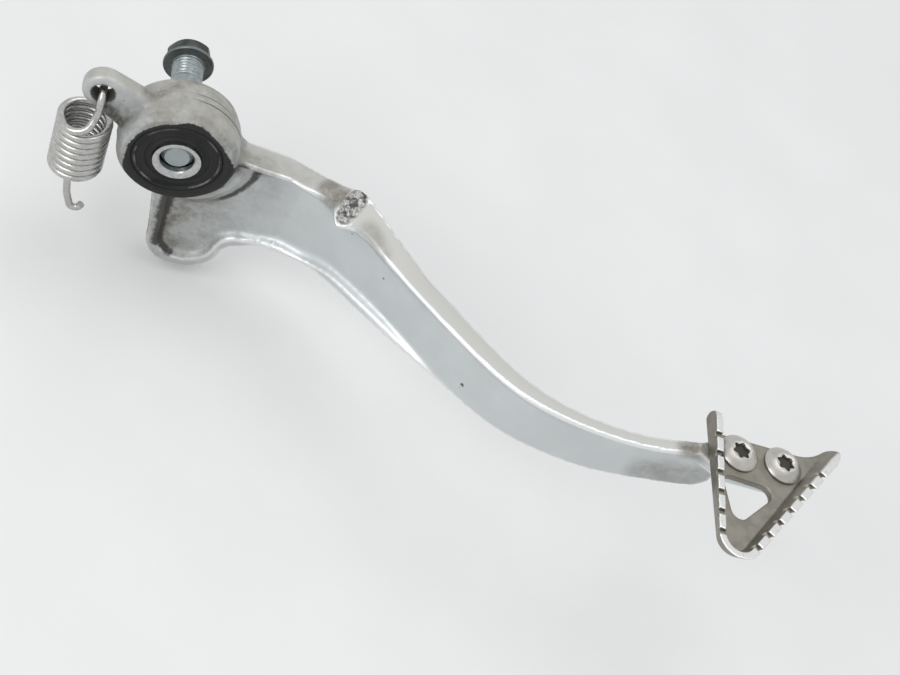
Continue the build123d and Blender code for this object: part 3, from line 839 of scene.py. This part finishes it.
    def store_wear(self, arm: bpy.types.Object) -> None:
        """Store where the arm is worn bright with a painted highlight on its edges, dusty, dirty, caked and
        greasy, and where shade is painted into its hollows.
        """
        points, normals = Shop.points(arm), Shop.normals(arm)
        x, y, z = points.T / MM
        bend = Shop.curvature(arm, 2)
        near = np.hypot(x, z)
        across, rise = self.hub_right
        low = (rise * x - across * z) / np.maximum(near, 1e-6)
        right = (across * x + rise * z) / np.maximum(near, 1e-6)
        reach = 15.5 + 2.8 * ease(low, -0.3, 0.5) + 1.3 * ease(np.abs(right - 0.45), 0.4, 0.1)
        grease = ease(near, reach + 0.9, reach - 0.9) * ease(y, -5.5, -7.0)
        hub = ease(near, 22, 20)
        ear = ease(x, -12, -16)
        rim = hub * ease(y, -4.5, -7.0)
        root = ease(near, 18.5, 20) * ease(z, 0, -3) * ease(x, 70, 34)
        film = root * np.exp(-(np.clip((x - 6) / 22, 0, None) ** 1.3)) * np.where(np.abs(y) > 4.6, 0.5, 0.9)
        foot = ease(np.abs(near - 26.6), 2.6, 0.5) * ease(y, -4.2, -2.8) * ease(y, 0, -2)
        # Black line in the groove at the hub flare's foot: painted shadow, with dirt.
        crease_shadow = foot * ease(right, 0.1, 0.5) * ease(z, 0, -2)
        # Blackened inside the ear hole: painted shade, with dirt.
        hole = ease(np.hypot(x - self.ear_hole[0], z - self.ear_hole[1]), 4.3, 3.5)
        seam = hub * (near > 17) * ease(right, 0.2, 0.65) * ease(low, 0.4, 0.0)
        # Concave corners and grooves near the root darkened: painted shade, with some grime.
        corner_shade = 0.8 * ease(-bend, 0.05, 0.2) * ease(x, 34, 22)
        # Dirt smudges, some of them painted shade in the saddle and at the blade's end.
        soil_and_shade = np.max([s.weigh(points) for s in self.dirt], axis=0)
        cake_and_shade = np.max([s.weigh(points) for s in self.cake_and_shade], axis=0)
        kept = (1 - 0.9 * grease) * (1 - 0.6 * np.maximum(hub, ear)) * (1 - 0.6 * film)
        # Bright convex edges: real wear, and a painted highlight along the rounded rib edges.
        Shop.store(arm, "wear", ease(bend, 0.04, 0.18) * kept)
        Shop.store(arm, "dust", ease(normals[:, 2], 0.35, 0.8) * ease(z, -9, -4))
        # dirt: road dirt and grime, with painted shade in concave corners, in the stop pad's saddle and at
        # the blade's end under the step.
        Shop.store(arm, "dirt", np.max([soil_and_shade, film, corner_shade, 0.48 * hub, 0.62 * rim, 0.34 * ear], axis=0))
        # Caked grease, with painted shadow at the hub flare's foot and painted shade in the ear hole.
        Shop.store(arm, "cake_and_shade", np.max([cake_and_shade, 0.8 * crease_shadow, 0.85 * hole], axis=0))
        Shop.store(arm, "seam", seam)
        Shop.store(arm, "grease", grease)


@dataclass
class StepPlate:
    """The folded step with its rolled, scuffed edges, and its two button-head screws."""

    voxel: float = 0.28 * MM
    soften: int = 5
    tip: float = 24.4 * MM
    flange_end: Point = (213.5, -67.0, 22.0)
    end_rounds: int = 110
    screw_x: tuple[float, float] = (179.15 * MM, 194.85 * MM)
    screw_y: float = -78.0 * MM
    seat: float = 20.4 * MM
    head_r: float = 6.5 * MM
    head_h: float = 3.3 * MM
    shank_r: float = 3.0 * MM
    shank_l: float = 8.0 * MM
    socket_r: float = 3.1 * MM
    lobe_depth: float = 0.85 * MM
    socket_depth: float = 2.2 * MM
    mouth_r: float = 3.6 * MM
    skirt: float = 0.7 * MM
    turns: tuple[float, float] = (12.0, 40.0)
    finish: StepSteel = field(default_factory=StepSteel)
    screw_finish: SatinStainless = field(default_factory=SatinStainless)

    def build(self) -> None:
        """Make the plate and its screws."""
        plate = Shop.copy_node("step", "step_plate")
        Shop.modify(plate, "REMESH", mode="VOXEL", voxel_size=self.voxel, adaptivity=0.0)
        Shop.modify(plate, "SMOOTH", factor=0.5, iterations=self.soften)
        away = np.linalg.norm(Shop.points(plate) - np.array(self.flange_end) * MM, axis=1)
        Shop.relax(plate, ease(away, 8 * MM, 4.5 * MM), self.end_rounds)
        Shop.store(plate, "wear", ease(Shop.curvature(plate, 2), 0.25, 1.1))
        up, high = Shop.normals(plate)[:, 2], Shop.points(plate)[:, 2]
        Shop.store(plate, "tip", ease(up, 0.45, 0.8) * ease(high, self.tip - 0.9 * MM, self.tip - 0.3 * MM))
        Shop.smooth(plate, 60)
        Shop.hand_over(plate, self.finish.build(), Body.PEDAL, Slot.STEP, "step")
        self.screws()

    def profile(self) -> list[tuple[float, float]]:
        """(radius, height) of a screw from its end to the middle of its socket."""
        sag = self.head_h - self.skirt
        ball = (self.head_r ** 2 + sag ** 2) / (2 * sag)
        radii = [self.head_r + (self.mouth_r - self.head_r) * k / 12 for k in range(13)]
        dome = [(r, self.head_h - ball + math.sqrt(ball ** 2 - r ** 2)) for r in radii]
        low = -self.shank_l
        end = [(0.0, low), (self.shank_r - 0.8 * MM, low), (self.shank_r, low + 0.8 * MM)]
        under = [(self.shank_r, 0.0), (self.head_r - 0.15 * MM, 0.0), (self.head_r, 0.15 * MM)]
        floor = dome[-1][1] - 0.35 * MM
        mouth = [(self.socket_r + 0.15 * MM, floor), (0.0, floor)]
        return end + under + dome + mouth

    def screws(self) -> None:
        """Model one screw, then place a copy at each hole."""
        screw = Shop.turn("step_screw_pair", self.profile(), 72)
        cutter = self.socket_cutter()
        Shop.modify(screw, "BOOLEAN", operation="DIFFERENCE", object=cutter, solver="EXACT")
        bpy.data.objects.remove(cutter)
        shape = Shop.points(screw)
        radius, high = np.hypot(shape[:, 0], shape[:, 2]), shape[:, 1]
        top = self.profile()[-1][1]
        inside = (radius < self.socket_r + 0.1 * MM) * (high > 0.5 * MM)
        # Depth down the socket, for its dirt and painted shade.
        Shop.store(screw, "socket", inside * ease(high, top - 0.05 * MM, top - 0.4 * MM))
        ring = (radius > self.socket_r - 0.1 * MM) * (radius < self.mouth_r)
        Shop.store(screw, "rim", ring * (high > top - 0.1 * MM))
        Shop.modify(screw, "BEVEL", width=0.08 * MM, segments=2, limit_method="ANGLE", angle_limit=0.7)
        second = screw.copy()
        second.data = screw.data.copy()
        bpy.context.scene.collection.objects.link(second)
        for piece, x, turn in zip((screw, second), self.screw_x, self.turns):
            place = Matrix.Translation((x, self.screw_y, self.seat))
            upright = Matrix.Rotation(math.radians(turn), 4, "Z") @ Matrix.Rotation(math.pi / 2, 4, "X")
            piece.data.transform(place @ upright)
        Shop.pick(screw)
        second.select_set(True)
        bpy.ops.object.join()
        Shop.smooth(screw, 40)
        Shop.hand_over(screw, self.screw_finish.build(), Body.PEDAL, Slot.SCREW, "step_screws")

    def socket_cutter(self) -> bpy.types.Object:
        """Six-lobed prism that cuts the drive socket."""
        floor = self.head_h - self.socket_depth
        bpy.ops.object.select_all(action="DESELECT")
        bpy.ops.mesh.primitive_circle_add(vertices=96, radius=self.socket_r, fill_type="NGON")
        cutter = bpy.context.object
        shape = Shop.points(cutter)
        around = np.arctan2(shape[:, 1], shape[:, 0])
        waist = self.lobe_depth * (0.5 - 0.5 * np.cos(6 * around)) ** 0.8
        radius = self.socket_r - waist
        Shop.move(cutter, np.stack([radius * np.cos(around), 0 * around + floor, radius * np.sin(around)], 1))
        bpy.ops.object.mode_set(mode="EDIT")
        bpy.ops.mesh.select_all(action="SELECT")
        bpy.ops.mesh.extrude_region_move(TRANSFORM_OT_translate={"value": (0, 2 * self.socket_depth, 0)})
        bpy.ops.mesh.select_all(action="SELECT")
        bpy.ops.mesh.normals_make_consistent(inside=False)
        bpy.ops.object.mode_set(mode="OBJECT")
        return cutter


@dataclass
class Pivot:
    """Sleeve, lip seals, bearing and bolt in the hub."""

    sleeve_r: float = 7.5 * MM
    sleeve_half: float = 10.0 * MM
    bore_r: float = 5.3 * MM
    mouth: float = 0.9 * MM
    seal_r: float = 14.0 * MM
    seal_near: float = 6.0 * MM
    seal_far: float = 9.0 * MM
    shank_r: float = 5.0 * MM
    shank_end: float = -8.2 * MM
    flange_y: float = 31.8 * MM
    flange_r: float = 8.1 * MM
    flange_t: float = 2.0 * MM
    hex_across: float = 13.0 * MM
    hex_h: float = 4.2 * MM
    hex_turn: float = 55.0
    pitch: float = 1.25 * MM
    thread_depth: float = 0.42 * MM
    thread_start: float = 23.0 * MM
    steps: int = 112

    def build(self) -> None:
        """Turn the sleeve, the outer seal and the bolt, and dress the bearing."""
        self.sleeve()
        self.outer_seal()
        self.bolt()
        bearing = TurnedSteel("bearing_finish", (0.56, 0.56, 0.55), (0.42, 0.42, 0.41)).build()
        rubber = GreasyRubber("inner_seal_finish").build()
        for node, finish in (("bearing_cup", bearing), ("needle_rollers", bearing), ("inner_seal", rubber)):
            dress_node(node, finish)

    def sleeve(self) -> None:
        """Sleeve with broken outer edges and countersunk mouths."""
        half, r, b, c, e = self.sleeve_half, self.sleeve_r, self.bore_r, self.mouth, 0.2 * MM
        profile = [(b, c - half), (b + 0.8 * c, 0.1 * MM - half), (b + c + 0.1 * MM, -half), (r - e, -half),
                   (r - 0.3 * e, 0.3 * e - half), (r, e - half), (r, half - e), (r - 0.3 * e, half - 0.3 * e),
                   (r - e, half), (b + c + 0.1 * MM, half), (b + 0.8 * c, half - 0.1 * MM), (b, half - c)]
        sleeve = Shop.turn("pivot_sleeve_turned", profile + profile[:1], self.steps)
        Shop.smooth(sleeve, 35)
        Shop.hand_over(sleeve, TurnedSteel().build(), Body.PIVOT, Slot.SLEEVE, "pivot_sleeve")

    def outer_seal(self) -> None:
        """Lip seal: flat casing, moulded grooves and a raised lip round the sleeve."""
        far, near, r, s = -self.seal_far, -self.seal_near, self.seal_r, self.sleeve_r + 0.05 * MM
        steps = [(0.0, 0.35), (0.35, 0.0), (1.1, 0.0), (1.5, 0.55), (3.0, 0.6), (3.4, 0.3), (3.9, 0.3),
                 (4.3, 0.65), (5.0, 0.6), (5.5, 0.1), (5.9, 0.0)]
        face = [(r - inward * MM, far + sunk * MM) for inward, sunk in steps]
        profile = [(r, near)] + face + [(s, far + 0.25 * MM), (s, near), (r, near)]
        seal = Shop.turn("outer_seal_lip", profile, self.steps)
        Shop.smooth(seal, 40)
        Shop.hand_over(seal, GreasyRubber().build(), Body.PEDAL, Slot.RUBBER, "outer_seal")

    def bolt(self) -> None:
        """Flange bolt, threaded up to its flange, with a chamfered hexagon."""
        end, face, r, f = self.shank_end, self.flange_y, self.shank_r, self.flange_r
        back = face + self.flange_t
        rows = int((face - 0.4 * MM - self.thread_start) / (self.pitch / 10))
        thread = [(r, self.thread_start + self.pitch / 10 * k) for k in range(rows)]
        profile = [(0.0, end), (r - 1.2 * MM, end), (r, end + 1.2 * MM), (r, 0.0), *thread,
                   (r, face - 0.4 * MM), (r + 0.15 * MM, face - 0.1 * MM), (r + 0.4 * MM, face + 0.02 * MM),
                   (f - 1.0 * MM, face), (f - 0.25 * MM, face + 0.1 * MM), (f, face + 0.4 * MM),
                   (f, face + 0.9 * MM), (f - 0.2 * MM, face + 1.15 * MM), (f - 1.6 * MM, back),
                   (0.0, back + 0.6 * MM)]
        bolt = Shop.turn("pivot_bolt_zinc", profile, self.steps)
        self.cut_thread(bolt)
        hexagon = self.hexagon()
        Shop.modify(bolt, "BOOLEAN", operation="UNION", object=hexagon, solver="EXACT")
        bpy.data.objects.remove(hexagon)
        Shop.store(bolt, "wear", self.head_wear(Shop.points(bolt)))
        Shop.smooth(bolt, 35)
        Shop.hand_over(bolt, DullZinc().build(), Body.PIVOT, Slot.BOLT, "pivot_bolt")

    def cut_thread(self, bolt: bpy.types.Object) -> None:
        """Sink a helical groove into the shank's dense rows."""
        points = Shop.points(bolt)
        radius, y = np.hypot(points[:, 0], points[:, 2]), points[:, 1]
        turn = np.arctan2(points[:, 2], points[:, 0]) / (2 * math.pi)
        phase = (y / self.pitch - turn) % 1.0
        groove = np.clip(1.6 * np.abs(2 * phase - 1) - 0.3, 0, 1)
        fade = ease(y, self.thread_start, self.thread_start + 2.5 * MM)
        fade *= ease(y, self.flange_y - 0.4 * MM, self.flange_y - 1.2 * MM)
        on_shank = np.abs(radius - self.shank_r) < 0.01 * MM
        scale = 1 - on_shank * fade * groove * self.thread_depth / self.shank_r
        points[:, 0] *= scale
        points[:, 2] *= scale
        Shop.move(bolt, points)

    def hexagon(self) -> bpy.types.Object:
        """Hexagon with its outer corners chamfered by a cone."""
        low = self.flange_y + 1.0 * MM
        high = self.flange_y + self.flange_t + self.hex_h
        corner_shade = self.hex_across / math.sqrt(3)
        bpy.ops.object.select_all(action="DESELECT")
        lie = (math.pi / 2, 0, 0)
        bpy.ops.mesh.primitive_cylinder_add(vertices=6, radius=corner_shade, depth=high - low, rotation=lie)
        hexagon = bpy.context.object
        bpy.ops.object.transform_apply(location=True, rotation=True, scale=True)
        spin = Matrix.Rotation(-math.radians(self.hex_turn), 4, "Y") @ Matrix.Rotation(math.pi / 2, 4, "Y")
        hexagon.data.transform(Matrix.Translation((0, (low + high) / 2, 0)) @ spin)
        Shop.modify(hexagon, "BEVEL", width=0.25 * MM, segments=2, limit_method="ANGLE", angle_limit=0.6)
        slope = 0.5
        cone = Shop.turn("hex_chamfer", [(0.0, low - MM), (corner_shade + slope * (high - low), low - MM),
                                         (self.hex_across / 2 - 0.3 * MM + slope * 2.0 * MM, high - 1.2 * MM),
                                         (self.hex_across / 2 - 0.5 * MM, high), (0.0, high)], 64)
        Shop.modify(hexagon, "BOOLEAN", operation="INTERSECT", object=cone, solver="EXACT")
        bpy.data.objects.remove(cone)
        return hexagon

    def head_wear(self, points: np.ndarray) -> np.ndarray:
        """Bright scuffs towards the rims of the flange and of the hexagon."""
        radius = np.hypot(points[:, 0], points[:, 2])
        rim = ease(radius, self.flange_r - 0.5 * MM, self.flange_r)
        top = self.flange_y + self.flange_t + self.hex_h
        return np.maximum(rim, 0.6 * ease(points[:, 1], top - 0.8 * MM, top))


def dress_node(node: str, finish: bpy.types.Material) -> None:
    """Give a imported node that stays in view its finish."""
    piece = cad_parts[node]
    piece.data.materials.clear()
    piece.data.materials.append(finish)
    LOG.info("%s: packed node, finish %s", node, finish.name)


@dataclass
class Studio:
    """Pale floor, soft light and the camera."""

    eye: Point = (-0.1090, -0.4238, 0.4307)
    right: Point = (0.906, 0.0, 0.4226)
    up: Point = (-0.2688, 0.772, 0.5764)
    back: Point = (-0.326, -0.636, 0.700)
    lens: float = 78.9
    sensor: float = 36.0
    shift_y: float = -37.5 / 900
    floor_z: float = -0.056
    floor_size: float = 6.0
    world_colour: Colour = (0.97, 0.985, 1.0)
    world_strength: float = 0.82
    lamps: tuple[tuple[str, Point, float, float], ...] = (
        ("window", (-0.75, -0.55, 0.75), 0.7, 5.0),
        ("overhead", (0.25, 0.25, 1.3), 1.0, 4.0),
    )
    aim: Point = (0.08, -0.03, 0.0)

    def build(self) -> None:
        """Set the stage."""
        self.floor()
        self.light()
        self.camera()
        bpy.context.scene.view_settings.view_transform = "Standard"

    def floor(self) -> None:
        """Lay the floor under the part."""
        bpy.ops.object.select_all(action="DESELECT")
        bpy.ops.mesh.primitive_plane_add(size=self.floor_size, location=(0, 0, self.floor_z))
        floor = bpy.context.object
        floor.name = "floor"
        floor.data.materials.append(PaleTable().build())

    def light(self) -> None:
        """Light the part from a pale sky and two large soft lamps."""
        world = bpy.data.worlds.new("pale_room")
        world.use_nodes = True
        sky = world.node_tree.nodes["Background"]
        sky.inputs["Color"].default_value = rgba(self.world_colour)
        sky.inputs["Strength"].default_value = self.world_strength
        bpy.context.scene.world = world
        for name, place, size, power in self.lamps:
            data = bpy.data.lights.new(name, "AREA")
            data.size, data.energy = size, power
            lamp = bpy.data.objects.new(name, data)
            lamp.location = place
            lamp.rotation_euler = (Vector(self.aim) - Vector(place)).to_track_quat("-Z", "Y").to_euler()
            bpy.context.scene.collection.objects.link(lamp)

    def camera(self) -> None:
        """Stand the camera at the viewing angle."""
        data = bpy.data.cameras.new("camera")
        data.lens, data.sensor_width, data.shift_y = self.lens, self.sensor, self.shift_y
        data.clip_start, data.clip_end = 0.01, 20.0
        camera = bpy.data.objects.new("camera", data)
        turn = Matrix((self.right, self.up, self.back)).transposed().to_4x4()
        camera.matrix_world = Matrix.Translation(self.eye) @ turn
        bpy.context.scene.collection.objects.link(camera)
        bpy.context.scene.camera = camera


def main() -> None:
    """Build the sub-assemblies in order and set the stage."""
    logging.basicConfig(level=logging.INFO, format="%(name)s %(message)s")
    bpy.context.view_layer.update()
    Forging().build()
    StepPlate().build()
    Pivot().build()
    dress_node("return_spring", DrawnWire().build())
    Studio().build()


if __name__ == "__main__":
    main()
